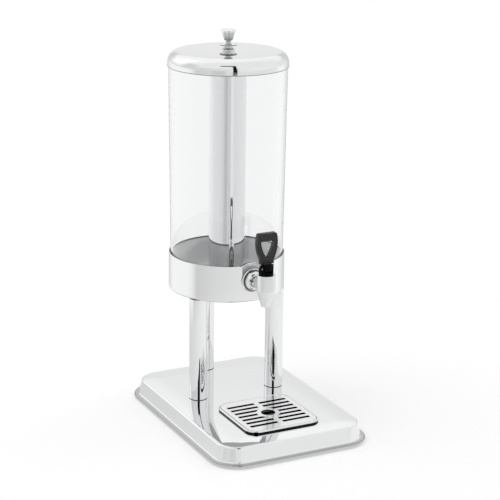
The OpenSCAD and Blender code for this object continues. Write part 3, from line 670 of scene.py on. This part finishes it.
def cup_steel(name, steel):
    """The cup: a mirror outside and duller, unpolished sheet inside, which glows with painted
    light.
    """
    material, graph, shader = new_material(name, {"Emission Strength": steel.painted_inside_glow})
    low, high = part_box("cup_shell")
    wall = (high.x - low.x) / 2 - steel.cup_sheet / 2
    inside = graph.math("LESS_THAN", distance_from(graph, middle("cup_shell"), LEVEL), wall)
    outer = surface_node(graph, "polish", steel.mirror, gloss=(0.02, 0.06))
    inner = surface_node(graph, "grain", steel.inside, gloss=(0.06, 0.12),
                         **{"Tone Change": 0.08, "Stretch": (1, 1, 0.05)})
    graph.link(graph.blend(inside, outer.outputs["Tone"], inner.outputs["Tone"]),
               shader.inputs["Base Color"])
    graph.link(graph.spread(inside, outer.outputs["Roughness"], inner.outputs["Roughness"]),
               shader.inputs["Roughness"])
    # Unpolished sheet scatters half of the light, and the rest of its brightness is painted light:
    # the inside glows.
    dull_metal = 0.5
    graph.link(graph.spread(inside, 1.0, dull_metal), shader.inputs["Metallic"])
    graph.link(inside, shader.inputs["Emission Color"])
    waves = 0.05 * MM
    graph.link(graph.bump(outer.outputs["Slow Height"], waves), shader.inputs["Normal"])
    # Painted shade along the cup's foot.
    shade_bands(graph, shader, graph.math("SUBTRACT", height_of(graph), low.z), PAINTED_CUP_FOOT_SHADE)
    return material


def grained_steel(name, tone, stretch=UP_GRAIN, gloss=(0.12, 0.3), depth=0.01 * MM):
    """Brushed or turned steel, with its grain along the stretched direction."""
    material, graph, shader = new_material(name, {"Metallic": 1.0})
    surface(graph, shader, surface_node(graph, "grain", tone, gloss, Stretch=stretch), fine=depth)
    return material


def moulded(name, tone, gloss, skin, gleam=0.5, marks=0.0):
    """Moulded plastic, rubber or silicone with a fine skin."""
    material, graph, shader = new_material(name, {"Specular IOR Level": gleam})
    surface(graph, shader, surface_node(graph, "skin", tone, gloss), fine=skin, marks=marks)
    return material


def gasket_silicone(name, plastic):
    """White silicone of the gaskets and the valve's plug."""
    return moulded(name, plastic.gasket, gloss=(0.3, 0.5), skin=0.03 * MM)


def lever_plastic(name, plastic):
    """The lever: black plastic whose foot, between the bonnet's ears, has no gleam: painted shade.
    """
    material = moulded(name, plastic.black, gloss=(0.34, 0.48), skin=0.015 * MM, marks=0.06)
    graph, shader = opened(material)
    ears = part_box("tap_bonnet")[1].z
    # Metal as dark as this mirrors next to nothing, so the foot has no gleam: painted shade.
    foot = graph.rise(height_of(graph), ears + plastic.foot_shade_fade, ears, "SMOOTHSTEP")
    graph.link(foot, shader.inputs["Metallic"])
    return material


def clear_plastic(name, plastic):
    """Clear moulded plastic, whose shadow is only tinted."""
    material, graph, shader = new_material(name, {"Transmission Weight": 1.0,
                                                  "IOR": plastic.clear_ior})
    node = surface_node(graph, "polish", plastic.clear, gloss=(0.0, 0.006),
                        **{"Tone Change": 0.01, "Patches": 6.0})
    surface(graph, shader, node, slow=0.008 * MM)
    path = graph.add("ShaderNodeLightPath")
    passing = graph.add("ShaderNodeBsdfTransparent", {"Color": (*plastic.clear, 1)})
    graph.show(graph.mixed(path.outputs["Is Shadow Ray"], shader.outputs["BSDF"],
                           passing.outputs["BSDF"]))
    return material


def settings(*names):
    """The scene's settings by name: stage, steel or plastic."""
    return [getattr(bpy.context.scene, "dispenser_" + name) for name in names]


def dress(material, *nodes):
    """Gives CAD nodes a finish."""
    for name in nodes:
        node = NODES.get(name)
        if node is None:
            raise RuntimeError(f"the frame has no node named {name}")
        node.data.materials.clear()
        node.data.materials.append(material)


def soften(width, node):
    """Rounds the sharp edges of a moulded or cast node."""
    modifiers = NODES[node].modifiers
    weld = modifiers.new("Weld", "WELD")
    weld.merge_threshold = WELD_DISTANCE
    bevel = modifiers.new("Soft edges", "BEVEL")
    bevel.width = width
    bevel.segments = 3
    bevel.limit_method = "ANGLE"
    bevel.angle_limit = SHARP_ANGLE
    bevel.use_clamp_overlap = True
    even = modifiers.new("Even shading", "WEIGHTED_NORMAL")
    even.keep_sharp = False


class DISPENSER_OT_base(bpy.types.Operator):
    """Pressed base pan and its rubber feet"""

    bl_idname = "dispenser.base"
    bl_label = "Base pan and feet"

    def execute(self, context):
        steel, plastic = settings("steel", "plastic")
        dress(base_steel("Base steel", steel), "base_pan")
        dress(moulded("Foot rubber", plastic.rubber, gloss=(0.6, 0.85), skin=0.04 * MM),
              "rubber_feet")
        return {"FINISHED"}


class DISPENSER_OT_tray(bpy.types.Operator):
    """Drip tray and its slotted grate"""

    bl_idname = "dispenser.tray"
    bl_label = "Drip tray and grate"

    def execute(self, context):
        (steel,) = settings("steel")
        dress(tray_steel("Tray steel", steel), "drip_tray")
        dress(grate_steel("Grate steel", steel), "drip_grate")
        return {"FINISHED"}


class DISPENSER_OT_legs(bpy.types.Operator):
    """Three tube legs with their plugs and screws"""

    bl_idname = "dispenser.legs"
    bl_label = "Legs"

    def execute(self, context):
        steel, plastic = settings("steel", "plastic")
        dress(mirror_steel("Leg steel", steel.mirror, ripple=0.02 * MM),
              "leg_front_left", "leg_front_right", "leg_rear")
        dress(moulded("Leg plugs", plastic.black, gloss=(0.35, 0.5), skin=0.02 * MM), "leg_plugs")
        dress(grained_steel("Turned steel", steel.turned), "leg_screws", "leg_washers")
        return {"FINISHED"}


class DISPENSER_OT_cup(bpy.types.Operator):
    """Cup, the black ring in its mouth and the tank's pad"""

    bl_idname = "dispenser.cup"
    bl_label = "Cup"

    def execute(self, context):
        steel, plastic = settings("steel", "plastic")
        dress(cup_steel("Cup steel", steel), "cup_shell")
        dress(moulded("Black silicone", plastic.strip, gloss=(0.45, 0.7), skin=0.03 * MM),
              "cup_strip")
        dress(moulded("Tank pad", plastic.pad, gloss=(0.5, 0.7), skin=0.03 * MM), "tank_pad")
        return {"FINISHED"}


class DISPENSER_OT_tank(bpy.types.Operator):
    """Clear tank"""

    bl_idname = "dispenser.tank"
    bl_label = "Tank"

    def execute(self, context):
        (plastic,) = settings("plastic")
        dress(clear_plastic("Clear plastic", plastic), "tank_shell")
        return {"FINISHED"}


class DISPENSER_OT_ice_tube(bpy.types.Operator):
    """Ice tube and what holds it to the tank's floor"""

    bl_idname = "dispenser.ice_tube"
    bl_label = "Ice tube"

    def execute(self, context):
        steel, plastic = settings("steel", "plastic")
        dress(mirror_steel("Ice tube steel", steel.mirror, gloss=(0.03, 0.08), ripple=0.02 * MM),
              "ice_tube")
        dress(grained_steel("Stud steel", steel.turned),
              "ice_tube_stud", "ice_tube_washer", "ice_tube_nut")
        dress(gasket_silicone("Tube gasket", plastic), "ice_tube_gasket")
        return {"FINISHED"}


class DISPENSER_OT_lid(bpy.types.Operator):
    """Domed lid and its knob"""

    bl_idname = "dispenser.lid"
    bl_label = "Lid and knob"

    def execute(self, context):
        (steel,) = settings("steel")
        # Painted shade along the lid's rim.
        dress(painted_band_steel("Lid steel", steel.mirror, "lid_dome", PAINTED_RIM_SHADE, gloss=(0.055, 0.10),
                           ripple=0.03 * MM), "lid_dome")
        # Painted reflections and shade in bands on the knob.
        dress(painted_band_steel("Knob chrome", steel.chrome, "lid_knob", PAINTED_KNOB_SHADE_AND_REFLECTIONS), "lid_knob")
        dress(grained_steel("Knob fixing", steel.turned), "knob_screw", "knob_washer")
        return {"FINISHED"}


class DISPENSER_OT_tap(bpy.types.Operator):
    """Tap body with its dome nut, gaskets, washer and nut"""

    bl_idname = "dispenser.tap"
    bl_label = "Tap body"

    def execute(self, context):
        steel, plastic = settings("steel", "plastic")
        dress(grained_steel("Satin silver", steel.satin, stretch=(1, 1, 1), gloss=(0.16, 0.22),
                            depth=0.003 * MM), "tap_body")
        soften(steel.tap_edge, "tap_body")
        dress(nut_steel("Nut chrome", steel), "tap_rosette")
        dress(grained_steel("Shank steel", steel.turned, stretch=(8, 1, 8)),
              "shank_washer", "shank_nut")
        dress(gasket_silicone("Tap gaskets", plastic), "outer_gasket", "inner_gasket")
        return {"FINISHED"}


class DISPENSER_OT_lever(bpy.types.Operator):
    """Black bonnet and finger-loop lever on its pin"""

    bl_idname = "dispenser.lever"
    bl_label = "Bonnet and lever"

    def execute(self, context):
        steel, plastic = settings("steel", "plastic")
        dress(lever_plastic("Lever plastic", plastic), "tap_lever")
        dress(moulded("Bonnet plastic", plastic.bonnet, gloss=(0.42, 0.55), skin=0.015 * MM,
                      gleam=0.05), "tap_bonnet")
        soften(plastic.lever_edge, "tap_lever")
        soften(plastic.bonnet_edge, "tap_bonnet")
        dress(grained_steel("Pin steel", steel.turned, stretch=(8, 1, 1)), "lever_pin")
        return {"FINISHED"}


class DISPENSER_OT_valve(bpy.types.Operator):
    """Valve stem, its pin, plug and spring"""

    bl_idname = "dispenser.valve"
    bl_label = "Valve"

    def execute(self, context):
        steel, plastic = settings("steel", "plastic")
        dress(grained_steel("Valve steel", steel.turned), "tap_stem", "stem_pin", "tap_spring")
        dress(gasket_silicone("Valve plug", plastic), "seat_plug")
        return {"FINISHED"}


def met(graph, path, kind, times=1):
    """1 for a ray that has met surfaces of a kind at least so many times."""
    return graph.math("GREATER_THAN", path.outputs[kind + " Depth"], times - 0.5)


def placed(name, data):
    """An object of the stage, linked to the scene."""
    thing = bpy.data.objects.new(name, data)
    bpy.context.scene.collection.objects.link(thing)
    return thing


def sheet(name, form, material):
    """A sheet of the stage from a finished bmesh."""
    mesh = bpy.data.meshes.new(name)
    form.to_mesh(mesh)
    form.free()
    mesh.materials.append(material)
    return placed(name, mesh)


def floor_finish(stage):
    """Matt floor that fades into the backdrop, and for mirrored rays a glow of painted light."""
    material, graph, shader = new_material(
        "Floor", {"Base Color": (*stage.floor_colour, 1), "Roughness": 1.0,
                  "Specular IOR Level": 0.0, "Emission Color": (1, 1, 1, 1)})
    path = graph.add("ShaderNodeLightPath")
    lit = graph.math("SUBTRACT", 1.0, met(graph, path, "Diffuse"))
    graph.link(graph.math("MULTIPLY", lit, stage.floor_lift), shader.inputs["Emission Strength"])
    place = graph.place()
    away = graph.vector("LENGTH", place)
    mirrored = met(graph, path, "Glossy")
    fades = [graph.rise(away, near, far, "SMOOTHSTEP")
             for near, far in (stage.floor_fade, stage.mirrored_floor_fade)]
    # For mirrored rays the floor glows with painted light that changes round the base.
    even = graph.add("ShaderNodeEmission")
    graph.link(surround(graph, turn_share(graph, place, stage), NEAR_FLOOR),
               even.inputs["Strength"])
    seen = graph.mixed(mirrored, shader.outputs["BSDF"], even.outputs["Emission"])
    gone = graph.add("ShaderNodeBsdfTransparent")
    graph.show(graph.mixed(graph.spread(mirrored, *fades), seen, gone.outputs["BSDF"]))
    return material


def floor_sheet(stage):
    """Round floor under the feet."""
    form = bmesh.new()
    bmesh.ops.create_circle(form, cap_ends=True, segments=96, radius=stage.floor_radius)
    floor = sheet("Floor", form, floor_finish(stage))


# What polished metal mirrors round the studio: a turn from the camera's own side, in degrees to
# the right, and the brightness there. In order: the floor near the base, below the horizon, just
# above it, higher up, and what the ice tube mirrors through the tank's wall.
NEAR_FLOOR = (
    (-180, 0.90), (-134, 0.76), (-60, 0.82), (0, 0.92), (60, 0.98), (93, 1.0), (150, 0.95),
    (180, 0.90),
)
LOW_SURROUND = (
    (-180, 0.62), (-160, 0.75), (-141, 0.98), (-130, 1.06), (-84, 1.05), (-72, 0.96), (-60, 0.70),
    (-52, 0.73), (-20, 0.80), (28, 0.87), (60, 0.86), (100, 0.90), (112, 1.06), (122, 1.08),
    (135, 0.95), (147, 0.78), (165, 0.66), (180, 0.62),
)
MIDDLE_SURROUND = (
    (-180, 0.89), (-173, 0.88), (-166, 0.70), (-150, 0.76), (-134, 0.85), (-90, 0.79), (-40, 0.79),
    (0, 0.84), (30, 0.92), (52, 0.95), (80, 0.95), (134, 0.91), (150, 0.74), (166, 0.68),
    (173, 0.88), (180, 0.89),
)
HIGH_SURROUND = (
    (-180, 1.07), (-100, 1.03), (-60, 0.94), (60, 0.92), (110, 0.93), (150, 1.02), (180, 1.07),
)
TUBE_SURROUND = (
    (-180, 0.86), (-140, 1.10), (-120, 1.06), (-85, 0.92), (-50, 0.90), (-25, 0.80), (-17, 0.64),
    (-5, 0.60), (1, 0.68), (4, 0.84), (9, 0.72), (14, 0.70), (19, 0.86), (26, 1.02), (34, 0.98),
    (44, 0.88), (100, 0.94), (140, 0.97), (160, 0.88), (180, 0.86),
)
# A colour ramp holds tones up to 1, so it holds the brightnesses divided by this.
BRIGHTNESS_SCALE = 2.0
# Heights above the horizon, in degrees, at which each surround hands over to the next.
LOW_TO_MIDDLE = (-5.0, 3.0)
MIDDLE_TO_HIGH = (19.0, 27.0)

# Soft or sharp patches in that surround: the turns and the heights above the horizon between
# which each lies, how soft its edges are, all in degrees, and its brightness.
STUDIO_PATCHES = {
    "Left glow": (-140, -100, 10, 60, 12, 1.22),
    "Left screen": (-94, -66, 2, 38, 7, 0.76),
    "Low screen": (-30, -5, -12, 2, 3, 0.66),
    "Screen's top bar": (-19, 20, 47, 56, 1.5, 0.10),
}

# Black flags that stand beside the camera and give polished metal its dark lines: turns in
# degrees from the camera's side, then the distance from the tank's axis and the heights, in
# metres, and how many mirrors a ray must have met to see the flag.
BLACK_FLAGS = {
    "Front flag": (-9, 17, 0.72, 0.13, 0.34, 2),
    "Screen's post": (8.6, 16.6, 1.0, 0.37, 1.56, 1),
}

# Softboxes: the turn from the tap's side and the angle above the horizon, in degrees, then
# shares of the softbox size and of the softbox brightness in the stage's settings.
SOFTBOXES = {
    "Overhead softbox": (-120, 62, 1.0, 1.0),
    "Right softbox": (100, 38, 0.8, 0.7),
}


def turn_share(graph, place, stage):
    """Turn of a direction or place from the camera's side, where 0.5 faces the camera."""
    turned = graph.add("ShaderNodeVectorRotate", {"Angle": -stage.view_azimuth},
                       rotation_type="Z_AXIS")
    graph.link(place, turned.inputs["Vector"])
    parts = graph.parts(turned.outputs["Vector"])
    turn = graph.math("ARCTAN2", parts["X"], graph.math("MULTIPLY", parts["Y"], -1))
    return graph.math("ADD", graph.math("DIVIDE", turn, math.tau), 0.5)


def surround(graph, share, stops):
    """Brightness that changes round the horizon."""
    stops = [((degrees + 180) / 360, level / BRIGHTNESS_SCALE) for degrees, level in stops]
    return graph.math("MULTIPLY", graph.ramp(share, stops), BRIGHTNESS_SCALE)


def patch_group():
    """Mask of a soft-edged patch of the studio's surround."""
    graph, given, made = new_group(
        "Studio patch",
        [("Turn", FLOAT, 0.0), ("Rise", FLOAT, 0.0), ("Middle Turn", FLOAT, 0.0),
         ("Half Turn", FLOAT, 10.0), ("Middle Rise", FLOAT, 0.0), ("Half Rise", FLOAT, 10.0),
         ("Soft", FLOAT, 2.0)],
        [("Mask", FLOAT)])
    masks = []
    for name in ("Turn", "Rise"):
        off = graph.math("ABSOLUTE", graph.math("SUBTRACT", given.outputs[name],
                                                given.outputs["Middle " + name]))
        full, none = [graph.math(side, given.outputs["Half " + name], given.outputs["Soft"])
                      for side in ("SUBTRACT", "ADD")]
        masks.append(graph.wired("ShaderNodeMapRange", off, full, none, 1.0, 0.0,
                                 interpolation_type="SMOOTHSTEP").outputs["Result"])
    graph.link(graph.math("MULTIPLY", *masks), made.inputs["Mask"])
    return graph.tree


def studio_world(stage):
    """White backdrop, even fill, and the surround that polished metal mirrors."""
    world = bpy.data.worlds.new("Studio")
    bpy.context.scene.world = world
    world.use_nodes = True
    graph = Graph(world.node_tree)
    back = world.node_tree.nodes["Background"]
    place = graph.add("ShaderNodeTexCoord").outputs["Generated"]
    share = turn_share(graph, place, stage)
    turn = graph.math("MULTIPLY", graph.math("SUBTRACT", share, 0.5), 360)
    rise = graph.math("DEGREES", graph.math("ARCSINE", graph.parts(place)["Z"]))
    level = surround(graph, share, LOW_SURROUND)
    for heights, stops in ((LOW_TO_MIDDLE, MIDDLE_SURROUND), (MIDDLE_TO_HIGH, HIGH_SURROUND)):
        above = graph.rise(rise, *heights, "SMOOTHSTEP")
        level = graph.spread(above, level, surround(graph, share, stops))
    for left, right, low, top, soft, tone in STUDIO_PATCHES.values():
        patch = graph.add("ShaderNodeGroup",
                          {"Middle Turn": (left + right) / 2, "Half Turn": (right - left) / 2,
                           "Middle Rise": (low + top) / 2, "Half Rise": (top - low) / 2,
                           "Soft": soft}, node_tree=GROUPS["patch"])
        graph.link(turn, patch.inputs["Turn"])
        graph.link(rise, patch.inputs["Rise"])
        level = graph.spread(patch.outputs["Mask"], level, tone)
    path = graph.add("ShaderNodeLightPath")
    through = met(graph, path, "Transmission")
    level = graph.spread(through, level, surround(graph, share, TUBE_SURROUND))
    plain = graph.spread(graph.math("ADD", path.outputs["Is Camera Ray"], through, clamp=True),
                         stage.fill, 1.0)
    graph.link(graph.spread(met(graph, path, "Glossy"), plain, level), back.inputs["Strength"])
    back.inputs["Color"].default_value = (1, 1, 1, 1)


def flag_finish(name, mirrors):
    """Dead black for rays off polished metal, and nothing for all others."""
    material, graph, shader = new_material(name, {"Base Color": (0, 0, 0, 1),
                                                  "Specular IOR Level": 0.0})
    path = graph.add("ShaderNodeLightPath")
    direct = graph.math("SUBTRACT", 1.0, met(graph, path, "Transmission"))
    seen = graph.math("MULTIPLY", met(graph, path, "Glossy", mirrors), direct)
    gone = graph.add("ShaderNodeBsdfTransparent")
    graph.show(graph.mixed(seen, gone.outputs["BSDF"], shader.outputs["BSDF"]))
    return material


def outward(azimuth, elevation=0.0):
    """Direction at a turn from the tap's side and an angle above the horizon."""
    flat = math.cos(elevation)
    return Vector((math.sin(azimuth) * flat, -math.cos(azimuth) * flat, math.sin(elevation)))


def black_flag(stage, name, left, right, distance, low, top, mirrors):
    """A curved black card that only polished surfaces see."""
    form = bmesh.new()
    corners = []
    steps = 6
    for step in range(steps + 1):
        turn = stage.view_azimuth + math.radians(left + (right - left) * step / steps)
        spot = TANK_AXIS.xy.to_3d() + outward(turn) * distance
        corners.append([form.verts.new((spot.x, spot.y, height)) for height in (low, top)])
    for first, second in zip(corners, corners[1:]):
        form.faces.new((first[0], second[0], second[1], first[1]))
    card = sheet(name, form, flag_finish(name, mirrors))
    card.visible_camera = False
    card.visible_diffuse = False
    card.visible_shadow = False


def softbox(stage, name, azimuth, elevation, size_share, radiance_share):
    """A square soft light aimed at the tap."""
    data = bpy.data.lights.new(name, "AREA")
    data.shape = "SQUARE"
    data.size = stage.softbox_size * size_share
    data.energy = stage.softbox_radiance * radiance_share * math.pi * data.size * data.size
    lamp = placed(name, data)
    away = outward(math.radians(azimuth), math.radians(elevation))
    lamp.location = middle("tap_body") + away * stage.softbox_distance
    lamp.rotation_mode = "QUATERNION"
    lamp.rotation_quaternion = away.to_track_quat("Z", "Y")
    lamp.visible_camera = False
    lamp.visible_glossy = False


def photo_camera(stage):
    """The camera that took the photograph: azimuth, elevation, roll and shift."""
    azimuth, roll = stage.view_azimuth, stage.view_roll
    back = outward(azimuth, stage.view_elevation)
    right = Vector((math.cos(azimuth), math.sin(azimuth), 0))
    up = back.cross(right)
    across = right * math.cos(roll) + up * math.sin(roll)
    upward = up * math.cos(roll) - right * math.sin(roll)
    data = bpy.data.cameras.new("Camera")
    data.lens = stage.lens
    data.sensor_width = stage.sensor
    data.shift_x, data.shift_y = stage.shift
    camera = placed("Camera", data)
    aim = Vector((TANK_AXIS.x, TANK_AXIS.y, stage.view_height))
    turn = Matrix((across, upward, back)).transposed().to_4x4()
    camera.matrix_world = Matrix.Translation(aim + back * stage.view_distance) @ turn
    bpy.context.scene.camera = camera


class DISPENSER_OT_stage(bpy.types.Operator):
    """Floor, backdrop, soft lights and camera"""

    bl_idname = "dispenser.stage"
    bl_label = "Stage"

    def execute(self, context):
        (stage,) = settings("stage")
        context.scene.view_settings.view_transform = "Standard"
        floor_sheet(stage)
        studio_world(stage)
        for name, place in BLACK_FLAGS.items():
            black_flag(stage, name, *place)
        for name, place in SOFTBOXES.items():
            softbox(stage, name, *place)
        photo_camera(stage)
        return {"FINISHED"}


class DISPENSER_PT_panel(bpy.types.Panel):
    """Lists the pieces and their settings"""

    bl_idname = "DISPENSER_PT_panel"
    bl_label = "Drink dispenser"
    bl_space_type = "VIEW_3D"
    bl_region_type = "UI"
    bl_category = "Dispenser"

    def draw(self, context):
        layout = self.layout
        for operator in OPERATORS:
            layout.operator(operator.bl_idname)
        for group in settings(*SETTINGS):
            box = layout.box()
            for name in group.bl_rna.properties.keys():
                if name not in ("rna_type", "name"):
                    box.prop(group, name)


SETTINGS = {"stage": StageSettings, "steel": SteelSettings, "plastic": PlasticSettings}
OPERATORS = (DISPENSER_OT_stage, DISPENSER_OT_base, DISPENSER_OT_tray, DISPENSER_OT_legs,
             DISPENSER_OT_cup, DISPENSER_OT_tank, DISPENSER_OT_ice_tube, DISPENSER_OT_lid,
             DISPENSER_OT_tap, DISPENSER_OT_lever, DISPENSER_OT_valve)


def register():
    for name, group in SETTINGS.items():
        bpy.utils.register_class(group)
        setattr(bpy.types.Scene, "dispenser_" + name, bpy.props.PointerProperty(type=group))
    for operator in OPERATORS:
        bpy.utils.register_class(operator)
    bpy.utils.register_class(DISPENSER_PT_panel)


def unregister():
    bpy.utils.unregister_class(DISPENSER_PT_panel)
    for operator in reversed(OPERATORS):
        bpy.utils.unregister_class(operator)
    for name, group in reversed(SETTINGS.items()):
        delattr(bpy.types.Scene, "dispenser_" + name)
        bpy.utils.unregister_class(group)


def main():
    register()
    build_groups()
    for operator in OPERATORS:
        group, name = operator.bl_idname.split(".")
        getattr(getattr(bpy.ops, group), name)()


if __name__ == "__main__":
    main()
